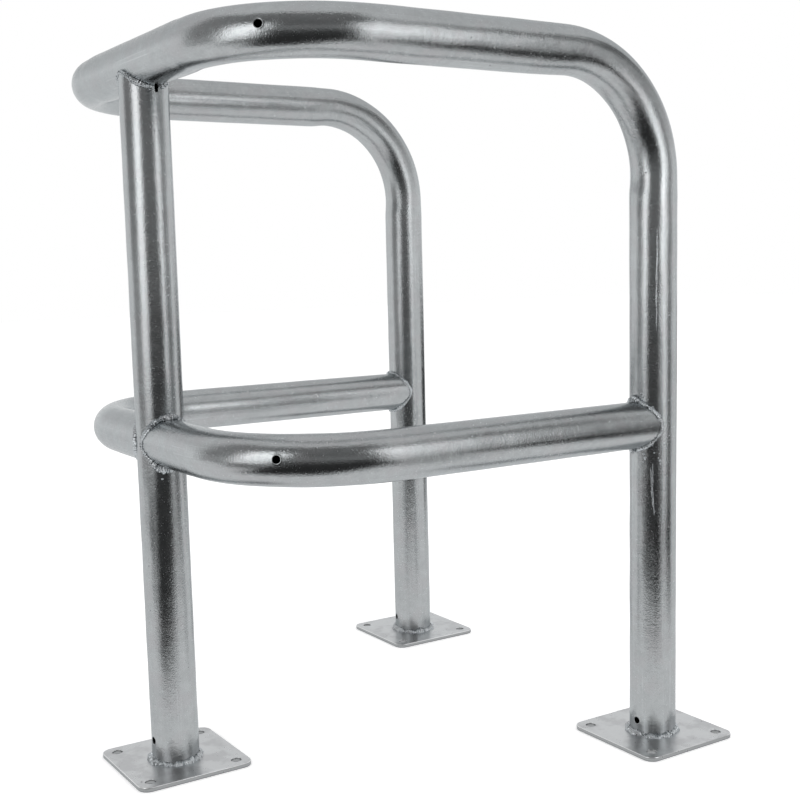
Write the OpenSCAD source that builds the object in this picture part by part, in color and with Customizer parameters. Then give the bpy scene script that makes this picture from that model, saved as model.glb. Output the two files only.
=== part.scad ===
// Three-leg protection hoop: bent tube on three bolt-down base plates.
// Millimetres, +Z up, floor at z = 0, the single front leg towards -Y.
// The origin lies on the floor, midway between the legs.

/* [Tube] */
// Outside diameter of every tube
tube_d = 60.3; // [45:0.1:76]
// Wall thickness of every tube
tube_wall = 3.2; // [2:0.1:5]

/* [Top hoop] */
// Distance between the axes of the two rear legs
hoop_w = 580; // [480:5:900]
// Distance from the front leg axis back to the axes of the rear legs
hoop_depth = 555; // [440:5:900]
// Height of the top rail axis above the floor
top_rail_z = 872; // [700:1:1200]
// Centre line radius of the bends where a rear leg turns into a side arm
leg_bend_r = 145; // [110:1:200]
// Centre line radius of the two front corners of the top rail
corner_bend_r = 140; // [110:1:200]

/* [Lower rails] */
// Height of the lower rail axis above the floor
lower_rail_z = 415; // [250:1:600]
// Centre line radius of the front corner of each lower rail
lower_bend_r = 158; // [110:1:200]
// Root gap left between a notched tube end and the tube it is welded to
root_gap = 0.2; // [0.1:0.05:0.5]

/* [Base plates] */
// Side length of a square base plate
plate_size = 150; // [146:1:200]
// Thickness of a base plate
plate_t = 6; // [5:0.5:12]
// Radius of the plate corners
plate_corner_r = 14; // [8:1:24]
// Distance between neighbouring bolt holes
bolt_pitch = 115; // [105:1:118]
// Diameter of the bolt holes
bolt_hole_d = 13; // [9:0.5:14]

/* [Welds] */
// Width of the base weld on the plate
base_weld_w = 7; // [4:0.5:9]
// Height of the base weld on the leg
base_weld_h = 5; // [3:0.5:8]
// Width of the bead along a notched tube end
joint_weld_w = 9; // [6:0.5:14]
// Height of that bead above the tubes
joint_weld_h = 3.5; // [2:0.5:5]

/* [Vent holes] */
// Diameter of the vent hole in the corner of the top rail
top_vent_d = 9.5; // [6:0.5:14]
// Diameter of the vent hole in the corner of a lower rail
lower_vent_d = 9.5; // [6:0.5:14]
// Tilt of the top rail's vent hole above the horizontal, in degrees
top_vent_tilt = 6; // [0:1:20]
// Tilt of the lower rail's vent hole above the horizontal, in degrees
lower_vent_tilt = 11; // [0:1:20]
// Diameter of the drain hole at the foot of a leg
drain_d = 9; // [6:0.5:12]
// Height of the right leg's drain hole above its plate
right_drain_z = 18; // [15:1:60]
// Height of the left leg's drain hole above its plate
left_drain_z = 22; // [15:1:60]
// Height of the front leg's drain hole above its plate
front_drain_z = 28; // [15:1:60]
// Turn of the right leg's drain hole away from straight ahead, in degrees
right_drain_turn = 3; // [-45:1:45]
// Turn of the left leg's drain hole away from straight ahead, in degrees
left_drain_turn = -11; // [-45:1:45]
// Turn of the front leg's drain hole away from straight ahead, in degrees
front_drain_turn = 4; // [-45:1:45]
// Width of the vent slot at the head of the front leg
head_slot_w = 5; // [4:0.5:8]
// Height of the vent slot below the top rail
head_slot_h = 7.5; // [6:0.5:14]
// Turn of the vent slot away from the right-hand side, in degrees
head_slot_turn = 8; // [-20:1:20]

/* [Hidden] */
$fn = 96;
tube_r = tube_d / 2;
bore_d = tube_d - 2 * tube_wall;
rear_x = hoop_w / 2;
rear_y = hoop_depth / 2;
front_y = -hoop_depth / 2;

// Round bar along +X, +Y or +Z, from the origin
module bar_x(length, d) {
    rotate([0, 90, 0]) cylinder(h = length, d = d);
}

module bar_y(length, d) {
    rotate([-90, 0, 0]) cylinder(h = length, d = d);
}

module bar_z(length, d) {
    cylinder(h = length, d = d);
}

// Cross-section of the tube
module tube_section() {
    difference() {
        circle(d = tube_d);
        circle(d = bore_d);
    }
}

// Straight tube along +X, +Y or +Z, from the origin
module tube_x(length) {
    rotate([0, 90, 0]) linear_extrude(length) tube_section();
}

module tube_y(length) {
    rotate([-90, 0, 0]) linear_extrude(length) tube_section();
}

module tube_z(length) {
    linear_extrude(length) tube_section();
}

// Quarter bend of the tube in the XY plane about the origin, from +X round to +Y
module quarter_bend(bend_r) {
    rotate_extrude(angle = 90) translate([bend_r, 0]) tube_section();
}

// Cutter for a radial hole: starts on a tube's axis and leaves along +X
module radial_cutter(d) {
    bar_x(tube_d, d);
}

// Quarter bend in the XY plane that ends in a side run: side 1 is the right front corner, -1 the left
module front_corner(bend_r, side) {
    rotate([0, 0, side > 0 ? -90 : 180]) quarter_bend(bend_r);
}

// One side of the hoop: rear leg, bend, side arm and front corner
module hoop_side(side) {
    arm_back_y = rear_y - leg_bend_r;
    arm_front_y = front_y + corner_bend_r;
    corner_x = rear_x - corner_bend_r;
    leg_top_z = top_rail_z - leg_bend_r;
    translate([side * rear_x, rear_y, plate_t]) tube_z(leg_top_z - plate_t);
    translate([side * rear_x, arm_back_y, leg_top_z]) rotate([90, 0, 90]) quarter_bend(leg_bend_r);
    translate([side * rear_x, arm_front_y, top_rail_z]) tube_y(arm_back_y - arm_front_y);
    translate([side * corner_x, arm_front_y, top_rail_z]) front_corner(corner_bend_r, side);
}

// Both sides and the front run between them
module hoop_tube() {
    corner_x = rear_x - corner_bend_r;
    hoop_side(1);
    hoop_side(-1);
    translate([-corner_x, front_y, top_rail_z]) tube_x(2 * corner_x);
}

// Drain hole at the foot of a leg that stands at x, y
module drain_hole(x, y, z, turn) {
    translate([x, y, plate_t + z]) rotate([0, 0, turn - 90]) radial_cutter(drain_d);
}

// Vent hole through the outer face of a front corner: side 1 is right, -1 left
module corner_vent(bend_r, z, d, tilt, side) {
    reach = bend_r * sin(45);
    translate([side * (rear_x - bend_r + reach), front_y + bend_r - reach, z])
        rotate([0, -tilt, side > 0 ? -45 : -135]) radial_cutter(d);
}

module top_hoop() {
    color("silver") difference() {
        hoop_tube();
        drain_hole(rear_x, rear_y, right_drain_z, right_drain_turn);
        drain_hole(-rear_x, rear_y, left_drain_z, left_drain_turn);
        corner_vent(corner_bend_r, top_rail_z, top_vent_d, top_vent_tilt, 1);
    }
}

// Vent slot, round at its foot, through the front leg's wall and the weld bead above it
module head_slot() {
    foot_z = top_rail_z - tube_r - head_slot_h + head_slot_w / 2;
    translate([0, front_y, foot_z]) rotate([0, 0, head_slot_turn]) {
        radial_cutter(head_slot_w);
        translate([0, -head_slot_w / 2, 0]) cube([tube_d, head_slot_w, tube_r]);
    }
}

// Straight leg whose head is notched to fit under the top rail
module front_leg() {
    notch_d = tube_d + 2 * root_gap;
    leg_h = top_rail_z - plate_t;
    color("silver") difference() {
        translate([0, front_y, plate_t]) tube_z(leg_h);
        translate([-tube_d, front_y, top_rail_z]) bar_x(2 * tube_d, notch_d);
        drain_hole(0, front_y, front_drain_z, front_drain_turn);
        head_slot();
    }
}

// Lower rail with square-cut ends, from leg axis to leg axis: side 1 is right, -1 left
module lower_tube(side) {
    run_y = hoop_depth - lower_bend_r;
    run_x = rear_x - lower_bend_r;
    translate([side * run_x, front_y + lower_bend_r, lower_rail_z]) {
        translate([side * lower_bend_r, 0, 0]) tube_y(run_y);
        front_corner(lower_bend_r, side);
        translate([0, -lower_bend_r, 0]) rotate([0, 0, side > 0 ? 180 : 0]) tube_x(run_x);
    }
}

// The same with both ends notched to fit round the legs
module lower_rail(side) {
    notch_d = tube_d + 2 * root_gap;
    difference() {
        lower_tube(side);
        translate([side * rear_x, rear_y, lower_rail_z - tube_d]) bar_z(2 * tube_d, notch_d);
        translate([0, front_y, lower_rail_z - tube_d]) bar_z(2 * tube_d, notch_d);
        corner_vent(lower_bend_r, lower_rail_z, lower_vent_d, lower_vent_tilt, side);
    }
}

module lower_rail_right() {
    color("silver") lower_rail(1);
}

module lower_rail_left() {
    color("silver") lower_rail(-1);
}

// Square plate with round corners and four bolt holes, centred on its leg
module base_plate(x, y) {
    straight = plate_size - 2 * plate_corner_r;
    corner_at = straight / 2;
    bolt_at = bolt_pitch / 2;
    translate([x, y, 0]) difference() {
        linear_extrude(plate_t) union() {
            square([plate_size, straight], center = true);
            square([straight, plate_size], center = true);
            for (sx = [-1, 1], sy = [-1, 1])
                translate([sx * corner_at, sy * corner_at]) circle(r = plate_corner_r);
        }
        for (sx = [-1, 1], sy = [-1, 1])
            translate([sx * bolt_at, sy * bolt_at, -1]) cylinder(h = plate_t + 2, d = bolt_hole_d);
    }
}

module base_plate_right() {
    color("silver") base_plate(rear_x, rear_y);
}

module base_plate_left() {
    color("silver") base_plate(-rear_x, rear_y);
}

module base_plate_front() {
    color("silver") base_plate(0, front_y);
}

// Fillet weld all round the foot of a leg
module base_weld(x, y) {
    toe_r = tube_r + base_weld_w;
    mid_r = tube_r + 0.55 * base_weld_w;
    translate([x, y, plate_t]) rotate_extrude() polygon([
        [tube_r, 0],
        [toe_r, 0],
        [mid_r, 0.6 * base_weld_h],
        [tube_r, base_weld_h]
    ]);
}

module base_weld_right() {
    color("gainsboro") base_weld(rear_x, rear_y);
}

module base_weld_left() {
    color("gainsboro") base_weld(-rear_x, rear_y);
}

module base_weld_front() {
    color("gainsboro") base_weld(0, front_y);
}

// Slab that holds one half of the seam between two crossing tubes
module seam_slab(tilt) {
    rotate([tilt, 0, 0]) translate([-tube_d, 0, -joint_weld_w / 2])
        cube([2 * tube_d, 2 * tube_d, joint_weld_w]);
}

// Bead round a notched end: the crossing tube runs along Z, the notched one leaves along +Y
module joint_weld() {
    bead_d = tube_d + 2 * joint_weld_h;
    difference() {
        intersection() {
            translate([0, 0, -tube_d]) bar_z(2 * tube_d, bead_d);
            bar_y(tube_d, bead_d);
            union() {
                seam_slab(45);
                seam_slab(-45);
            }
        }
        translate([0, 0, -2 * tube_d]) bar_z(4 * tube_d, tube_d);
        translate([0, -tube_d, 0]) bar_y(3 * tube_d, tube_d);
    }
}

module top_weld_front() {
    color("gainsboro") difference() {
        translate([0, front_y, top_rail_z]) rotate([-90, 0, 0]) rotate([0, 90, 0]) joint_weld();
        head_slot();
    }
}

module rear_weld_right() {
    color("gainsboro") translate([rear_x, rear_y, lower_rail_z]) rotate([0, 0, 180]) joint_weld();
}

module rear_weld_left() {
    color("gainsboro") translate([-rear_x, rear_y, lower_rail_z]) rotate([0, 0, 180]) joint_weld();
}

module front_weld_right() {
    color("gainsboro") translate([0, front_y, lower_rail_z]) rotate([0, 0, -90]) joint_weld();
}

module front_weld_left() {
    color("gainsboro") translate([0, front_y, lower_rail_z]) rotate([0, 0, 90]) joint_weld();
}

top_hoop();
front_leg();
lower_rail_right();
lower_rail_left();
base_plate_right();
base_plate_left();
base_plate_front();
base_weld_right();
base_weld_left();
base_weld_front();
top_weld_front();
rear_weld_right();
rear_weld_left();
front_weld_right();
front_weld_left();
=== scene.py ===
import math

import bmesh
import bpy
import numpy as np
from mathutils import Matrix, Vector
from mathutils.geometry import delaunay_2d_cdt


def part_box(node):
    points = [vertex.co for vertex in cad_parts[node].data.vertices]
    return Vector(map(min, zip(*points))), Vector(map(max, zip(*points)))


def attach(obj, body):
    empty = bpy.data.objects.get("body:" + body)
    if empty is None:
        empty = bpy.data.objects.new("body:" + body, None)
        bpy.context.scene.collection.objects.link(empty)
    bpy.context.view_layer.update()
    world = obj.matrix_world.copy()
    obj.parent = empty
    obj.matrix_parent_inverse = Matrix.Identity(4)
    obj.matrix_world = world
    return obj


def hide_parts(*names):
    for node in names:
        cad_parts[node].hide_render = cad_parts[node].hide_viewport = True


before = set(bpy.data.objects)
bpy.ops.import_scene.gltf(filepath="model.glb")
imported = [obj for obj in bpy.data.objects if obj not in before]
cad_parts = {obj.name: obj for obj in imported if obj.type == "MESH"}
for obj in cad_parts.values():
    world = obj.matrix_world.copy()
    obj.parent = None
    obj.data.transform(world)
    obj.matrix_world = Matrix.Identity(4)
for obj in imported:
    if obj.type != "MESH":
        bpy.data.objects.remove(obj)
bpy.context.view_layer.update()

# Three-leg protection hoop: galvanised bent tube on three bolt-down base plates, in metres

MM = 0.001
TURN = 2 * math.pi
X, Y, Z = np.eye(3)
# Range in radians that the phases of waves are drawn from
PHASES = (0, 6.283)

# Sizes read from the CAD frame

hoop_low, hoop_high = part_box("top_hoop")
leg_low, leg_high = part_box("front_leg")
rail_low, rail_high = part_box("lower_rail_right")
plate_low, plate_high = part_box("base_plate_front")

TUBE_R = (leg_high.x - leg_low.x) / 2
PLATE_T = plate_high.z - plate_low.z
PLATE_HALF = (plate_high.x - plate_low.x) / 2
REAR_X = hoop_high.x - TUBE_R
REAR_Y = hoop_high.y - TUBE_R
FRONT_Y = hoop_low.y + TUBE_R
TOP_Z = hoop_high.z - TUBE_R
RAIL_Z = (rail_low.z + rail_high.z) / 2
LEGS = {"right": (REAR_X, REAR_Y), "left": (-REAR_X, REAR_Y), "front": (0.0, FRONT_Y)}

# Sizes of the CAD model that its boxes don't give

TUBE_WALL = 3.2 * MM
BORE_R = TUBE_R - TUBE_WALL
ROOT_GAP = 0.2 * MM
NOTCH_R = TUBE_R + ROOT_GAP
LEG_BEND_R = 145 * MM
CORNER_BEND_R = 140 * MM
RAIL_BEND_R = 158 * MM
VENT_D, DRAIN_D = 9.5 * MM, 9 * MM
TOP_VENT_TILT, RAIL_VENT_TILT = 6, 11
# Drain hole at the foot of each leg: height above the plate, azimuth in degrees
DRAINS = {"right": (18 * MM, -87), "left": (22 * MM, -101), "front": (28 * MM, -86)}
# Vent slot at the head of the front leg: width, height below the top rail, turn in degrees
HEAD_SLOT_W, HEAD_SLOT_H, HEAD_SLOT_TURN = 5 * MM, 7.5 * MM, 8
PLATE_CORNER_R = 14 * MM
BOLT_HOLE_R = 6.5 * MM
BOLT_AT = 57.5 * MM
BOLTS = [(sx * BOLT_AT, sy * BOLT_AT) for sx in (-1, 1) for sy in (-1, 1)]

# Helpers


def smooth(x):
    """Smooth step from 0 to 1."""
    x = np.clip(x, 0, 1)
    return x * x * (3 - 2 * x)


def fall(x, width):
    """Smooth step from 1 down to 0, over a width about x = 0."""
    return smooth(0.5 - x / width)


def unit(v):
    """Vectors of length 1 along the given ones."""
    v = np.asarray(v, float)
    return v / np.linalg.norm(v, axis=-1, keepdims=True)


def direction(azimuth, elevation=0.0):
    """Unit vector from an azimuth and an elevation in degrees."""
    a, e = math.radians(azimuth), math.radians(elevation)
    return np.array([math.cos(e) * math.cos(a), math.cos(e) * math.sin(a), math.sin(e)])


def linked(name, data):
    """New object in the scene."""
    obj = bpy.data.objects.new(name, data)
    bpy.context.scene.collection.objects.link(obj)
    return obj


# Points round a lump of weld or zinc, and rings between its two tips
LUMP_POINTS, LUMP_RINGS = 10, 5


class Shape:
    """Vertices, faces and the unrolled coordinates of a mesh in the making."""

    def __init__(self):
        self.co, self.flat, self.faces, self.count = [], [], [], 0

    def add(self, co, flat=None):
        """Adds points of any array shape and returns their indices in that shape."""
        co = np.asarray(co, float)
        flat = co if flat is None else np.asarray(flat, float)
        index = np.arange(co[..., 0].size).reshape(co.shape[:-1]) + self.count
        self.co.append(co.reshape(-1, 3))
        self.flat.append(flat.reshape(-1, 3))
        self.count += index.size
        return index

    def bridge(self, a, b):
        """Quads between two closed loops of the same length."""
        a, b = np.append(a, a[0]), np.append(b, b[0])
        self.faces += np.stack([a[:-1], a[1:], b[1:], b[:-1]], 1).tolist()

    def grid(self, index, keep=None):
        """Quads over a grid of indices that closes on itself along its second axis."""
        nxt = np.roll(index, -1, 1)
        quads = np.stack([index[:-1], nxt[:-1], nxt[1:], index[1:]], -1)
        if keep is not None:
            quads = quads[keep]
        self.faces += quads.reshape(-1, 4).tolist()

    def lump(self, centre, a, b, c, draw, rough=0.16):
        """Uneven ellipsoid with the half-axes a, b and c."""
        turns = np.arange(LUMP_POINTS) / LUMP_POINTS * TURN
        rises = np.linspace(-0.5, 0.5, LUMP_RINGS + 2)[1:-1, None] * math.pi
        size = 1 + draw.uniform(-rough, rough, (LUMP_RINGS, LUMP_POINTS))
        across = np.cos(rises) * size
        rings = np.multiply.outer(across * np.cos(turns), a) + np.multiply.outer(across * np.sin(turns), b)
        rings += np.multiply.outer(np.sin(rises) * size, c)
        index = self.add(centre + rings)
        tips = self.add([centre - c, centre + c])
        self.grid(index)
        for ring, tip in zip((index[0], index[-1]), tips):
            self.faces += [[int(p), int(q), int(tip)] for p, q in zip(ring, np.roll(ring, -1))]

    def build(self, name, material, sharp=40):
        """Makes the object, without vertices that no face uses and with all faces turned outwards."""
        co, flat = np.concatenate(self.co), np.concatenate(self.flat)
        used = np.unique(np.concatenate([np.asarray(f) for f in self.faces]))
        new = np.full(len(co), -1)
        new[used] = np.arange(len(used))
        mesh = bpy.data.meshes.new(name)
        mesh.from_pydata(co[used].tolist(), [], [[int(new[i]) for i in f] for f in self.faces])
        turned = bmesh.new()
        turned.from_mesh(mesh)
        bmesh.ops.recalc_face_normals(turned, faces=turned.faces)
        turned.to_mesh(mesh)
        turned.free()
        layer = mesh.attributes.new("unrolled", "FLOAT_VECTOR", "POINT")
        layer.data.foreach_set("vector", flat[used].astype(np.float32).ravel())
        mesh.shade_smooth()
        mesh.set_sharp_from_angle(angle=math.radians(sharp))
        mesh.materials.append(material)
        return linked(name, mesh)


# Tube paths


class Path:
    """Centre line of straight runs and quarter bends, with an untwisted frame along it."""

    def __init__(self, start, heading, side):
        self.p, self.t, self.n = (np.array(v, float) for v in (start, heading, side))
        self.parts, self.length = [], 0.0

    def line(self, length):
        """Straight run."""
        self.parts.append(dict(kind="line", s=self.length, length=length, p=self.p, t=self.t, n=self.n))
        self.p = self.p + self.t * length
        self.length += length
        return self

    def bend(self, radius, heading, fades, **squeeze):
        """Quarter bend from the present heading to a new one at right angles to it."""
        heading = np.array(heading, float)
        arc = radius * math.pi / 2
        self.parts.append(dict(kind="bend", s=self.length, length=arc, p=self.p, t=self.t, n=self.n,
                               r=radius, new=heading, axis=np.cross(self.t, heading), fades=fades,
                               **squeeze))
        self.n = self.turned(self.n, self.t, heading, math.pi / 2)
        self.p = self.p + radius * (self.t + heading)
        self.t = heading
        self.length += arc
        return self

    @staticmethod
    def turned(v, t, new, angle):
        """v turned by an angle from direction t towards direction new."""
        a, b = v @ t, v @ new
        rest = v - a * t - b * new
        c, s = np.cos(angle), np.sin(angle)
        return rest + np.multiply.outer(a * c - b * s, t) + np.multiply.outer(a * s + b * c, new)

    def at(self, s):
        """Centre, normal and binormal at each s."""
        s = np.asarray(s, float)
        centre, normal, tangent = (np.zeros(s.shape + (3,)) for _ in range(3))
        for i, part in enumerate(self.parts):
            here = (s >= part["s"]) | (i == 0)
            d = s[here] - part["s"]
            if part["kind"] == "line":
                centre[here] = part["p"] + np.multiply.outer(d, part["t"])
                normal[here], tangent[here] = part["n"], part["t"]
            else:
                angle = d / part["r"]
                swing = np.multiply.outer(np.sin(angle), part["t"])
                swing += np.multiply.outer(1 - np.cos(angle), part["new"])
                centre[here] = part["p"] + part["r"] * swing
                normal[here] = self.turned(part["n"], part["t"], part["new"], angle)
                tangent[here] = self.turned(part["t"], part["t"], part["new"], angle)
        return centre, normal, np.cross(tangent, normal)


# Wall squeezed by the bending tool, as shares of the radius: outside, inside and sideways, and
# the height of the ledge along the tool's edge
LEG_SQUEEZE = dict(outside=0.025, inside=0.06, sideways=0.004, ledge=0.13 * MM)
CORNER_SQUEEZE = dict(outside=0.03, inside=0.05, sideways=0.03, ledge=0.0)
RAIL_SQUEEZE = dict(outside=0.014, inside=0.02, sideways=0.012, ledge=0.0)
# Length over which the squeeze fades: short where the tool stopped, long where the tube ran out of it
CRISP, SOFT = 26 * MM, 110 * MM
# How far past the bend the tool still holds the tube at its crisp end
OVERRUN = 12 * MM
# Line that the tool left there: it fades towards the outside of the bend
MARK_DEPTH, MARK_WIDTH, MARK_END = 0.035 * MM, 1.4 * MM, 0.6
# Place of the ledge, as a share of the radius towards the outside of the bend, and its width
LEDGE_AT, LEDGE_WIDTH = 0.39, 0.07
# The seam of a notched end is rounded: at its two tips it is this share of the radius from the axis
BURNT = 0.4
# Length over which a tube's mesh bends towards a notched end, and that of the close rings before it
NOTCH_REACH, NOTCH_CLOSE = 90 * MM, 95 * MM
# Waves in a tube's wall: how many, depth in mm, turns round the tube, radians per metre along it
WALL_WAVES, WAVE_DEPTH, WAVES_ROUND, WAVES_ALONG = 9, (0.015, 0.045), (0, 5), (12, 95)
# Degrees between the points round a tube, and beside the tips of a notch
SECTION_STEP, TIP_STEP = 6.0, 1.5
# Rings round a hole, the room beside them, and half the width in degrees of the patch that they fill
HOLE_RINGS = np.arange(-4, 5) * 2.1 * MM
HOLE_ROOM, HOLE_PATCH = 0.8 * MM, 21
# Rings near a tool's mark and on it: where from the mark, and how far apart
NEAR_MARK, NEAR_MARK_STEP = 6 * MM, 2 * MM
ON_MARK, ON_MARK_STEP = (-3.5 * MM, 2.8 * MM), 0.75 * MM
# Mesh of a tube's two surfaces: radius, step between rings on straight runs and elsewhere, whether
# they crowd at the tool's marks, and the loops from a hole's patch to its rim, each with its size as a
# share of the hole's radius, how round it is and its lift in mm
OUTSIDE = dict(radius=TUBE_R, coarse=9 * MM, fine=4 * MM, marked=True,
               loops=((1.6, 0.5, 0), (1.6, 1, 0), (1.32, 1, 0.05), (1.18, 1, 0.2), (1.08, 1, 0.22),
                      (1.0, 1, 0.02)))
INSIDE = dict(radius=BORE_R, coarse=30 * MM, fine=12 * MM, marked=False, loops=((1.5, 1, 0), (1.0, 1, 0)))


def notch_depth(square):
    """Depth of a rounded notch, as a share of the radius, from the square of the height along the seam."""
    return np.sqrt(BURNT ** 2 + (1 - BURNT ** 2) * square)


class Tube:
    """A tube along a path: its ends may be notched to fit round another tube."""

    def __init__(self, path, seed, start_notch=None, end_notch=None):
        self.path, self.start_notch, self.end_notch = path, start_notch, end_notch
        draw = np.random.RandomState(seed)
        self.waves = [(draw.uniform(*WAVE_DEPTH) * MM, draw.randint(*WAVES_ROUND),
                       draw.uniform(*WAVES_ALONG), draw.uniform(*PHASES)) for _ in range(WALL_WAVES)]
        self.holes = []
        self.head = None
        self.theta = np.zeros(0)
        tips = np.arange(4) * 90.0
        self.add_columns(np.arange(0, 360, SECTION_STEP), tips + TIP_STEP, tips - TIP_STEP)

    def add_columns(self, *degrees):
        """More points round the section, at angles in degrees."""
        self.theta = np.unique(np.concatenate([self.theta, np.radians(np.concatenate(degrees) % 360)]))

    def hole(self, s, way, diameter):
        """Round hole whose axis leaves the centre line at s in a direction."""
        _, n, b = self.path.at(np.array([s]))
        angle = math.atan2(float(b[0] @ way), float(n[0] @ way))
        self.holes.append((s, angle, diameter / 2))

    def warped(self, q, theta, radius):
        """Distance along the centre line of ring q, which follows a notched end near it."""
        s = q
        for notch, from_end in ((self.start_notch, False), (self.end_notch, True)):
            if notch is None:
                continue
            end = self.path.length if from_end else 0.0
            _, n, b = self.path.at(np.array([end]))
            across = radius * (np.cos(theta) * (n[0] @ notch) + np.sin(theta) * (b[0] @ notch))
            depth = NOTCH_R * notch_depth(1 - (across / NOTCH_R) ** 2)
            if self.head is not None and from_end:
                depth = np.maximum(depth, self.head(theta))
            away = (self.path.length - q) if from_end else q
            shift = depth * (1 - smooth(away / NOTCH_REACH))
            s = s - shift if from_end else s + shift
        return s

    def point(self, q, theta, radius, lift=0.0):
        """Point of the tube's wall at ring q and angle theta, and its unrolled coordinates."""
        q, theta = np.broadcast_arrays(np.asarray(q, float), np.asarray(theta, float))
        s = self.warped(q, theta, radius)
        centre, n, b = self.path.at(s)
        e = np.cos(theta)[..., None] * n + np.sin(theta)[..., None] * b
        r = np.full(s.shape, float(radius))
        for size, around, along_path, phase in self.waves:
            r = r + size * (np.cos(around * theta + along_path * s + phase) - 1)
        for part in self.bends():
            angle = np.clip(s - part["s"], 0, part["length"]) / part["r"]
            outward = self.path.turned(-part["new"], part["t"], part["new"], angle)
            before, after = part["s"] - s, s - part["s"] - part["length"]
            fade_in, fade_out = part["fades"]
            weight = fall(before - self.overrun(fade_in), fade_in)
            weight = weight * fall(after - self.overrun(fade_out), fade_out)
            u = np.sum(e * outward, -1)
            v = np.sum(e * part["axis"], -1)
            squeeze = part["outside"] * np.maximum(u, 0) ** 2 + part["inside"] * np.maximum(-u, 0) ** 2
            r = r - radius * weight * (squeeze + part["sideways"] * v ** 2)
            r = r - weight * part["ledge"] * fall(u - LEDGE_AT, LEDGE_WIDTH)
            for mark in self.marks(part):
                r = r - MARK_DEPTH * np.exp(-((s - mark) / MARK_WIDTH) ** 2) * smooth(MARK_END - u)
        flat = np.stack([radius * np.cos(theta), radius * np.sin(theta), s], -1)
        return centre + e * (r + lift)[..., None], flat

    def bends(self):
        """The path's bends."""
        return [part for part in self.path.parts if part["kind"] == "bend"]

    @staticmethod
    def overrun(fade):
        """How far past the bend the tool holds the tube."""
        return OVERRUN if fade == CRISP else 0.0

    @staticmethod
    def marks(part):
        """Places of the lines that the tool left at the crisp ends of a bend."""
        fade_in, fade_out = part["fades"]
        found = [part["s"] - OVERRUN - CRISP / 2] if fade_in == CRISP else []
        return found + ([part["s"] + part["length"] + OVERRUN + CRISP / 2] if fade_out == CRISP else [])

    def rings(self, coarse, fine, marked):
        """Positions of the rings, closer together in bends, at notches and round holes and tool marks."""
        length = self.path.length
        marks = [mark for part in self.bends() for mark in self.marks(part)] if marked else []
        bends = [(p["s"] - p["fades"][0] - OVERRUN, p["s"] + p["length"] + p["fades"][1] + OVERRUN)
                 for p in self.bends()]
        s, found = 0.0, []
        while s < length - 0.6 * fine:
            found.append(s)
            close = any(a < s < b for a, b in bends)
            close |= self.start_notch is not None and s < NOTCH_REACH
            close |= self.end_notch is not None and s > length - NOTCH_CLOSE
            step = fine if close else coarse
            if any(abs(s - m) < NEAR_MARK for m in marks):
                on_mark = any(ON_MARK[0] < s - m < ON_MARK[1] for m in marks)
                step = ON_MARK_STEP if on_mark else NEAR_MARK_STEP
            s += step
        found = np.array(found + [length])
        for s0, _, _ in self.holes:
            window = s0 + HOLE_RINGS
            found = found[(found < window[0] - HOLE_ROOM) | (found > window[-1] + HOLE_ROOM)]
            found = np.concatenate([found, window])
        return np.unique(np.concatenate([found, [0.0, length]]))

    def shell(self, shape, radius, coarse, fine, marked, loops):
        """One surface of the tube. Returns its two end loops and the rim of each hole."""
        rings = self.rings(coarse, fine, marked)
        index = shape.add(*self.point(rings[:, None], self.theta[None, :], radius))
        keep = np.ones((len(rings) - 1, len(self.theta)), bool)
        rims = [self.cut(shape, hole, rings, index, keep, radius, loops) for hole in self.holes]
        shape.grid(index, keep)
        return [index[0], index[-1]] + rims

    def cut(self, shape, hole, rings, index, keep, radius, loops):
        """Leaves a patch of the grid out, fills it up to a hole and returns the hole's rim."""
        s0, angle, hole_r = hole
        gap = (self.theta - angle + math.pi) % TURN - math.pi
        columns = np.where(np.abs(gap) <= math.radians(HOLE_PATCH))[0]
        columns = columns[np.argsort(gap[columns])]
        first, last = (int(np.argmin(abs(rings - (s0 + ring)))) for ring in HOLE_RINGS[[0, -1]])
        keep[first:last, columns[:-1]] = False
        between = np.arange(first + 1, last)
        edge = [(first, c) for c in columns] + [(row, columns[-1]) for row in between]
        edge += [(last, c) for c in columns[::-1]] + [(row, columns[0]) for row in between[::-1]]
        rows, columns = np.array(edge).T
        near, _ = self.point(np.array([s0 - MM, s0 + MM]), angle, radius)
        stretch = np.linalg.norm(near[1] - near[0]) / (2 * MM)
        a = radius * np.sin(gap[columns])
        b = (rings[rows] - s0) * stretch
        turn = np.arctan2(b, a)
        loop = index[rows, columns]
        for size, roundness, lift in loops:
            x = (1 - roundness) * a + roundness * size * hole_r * np.cos(turn)
            y = (1 - roundness) * b + roundness * size * hole_r * np.sin(turn)
            new = shape.add(*self.point(s0 + y / stretch, angle + np.arcsin(x / radius), radius, lift * MM))
            shape.bridge(loop, new)
            loop = new
        return loop

    def build(self, name, node):
        """Closed hollow tube."""
        shape = Shape()
        for outer, inner in zip(self.shell(shape, **OUTSIDE), self.shell(shape, **INSIDE)):
            shape.bridge(outer, inner)
        finish(shape.build(name, TUBE_METAL), node)


# Materials

WHITE = (1, 1, 1, 1)
# Patterns that count from 0, because most of the surface has none: the others count from their middle
RARE = ("speck", "pit")


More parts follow.
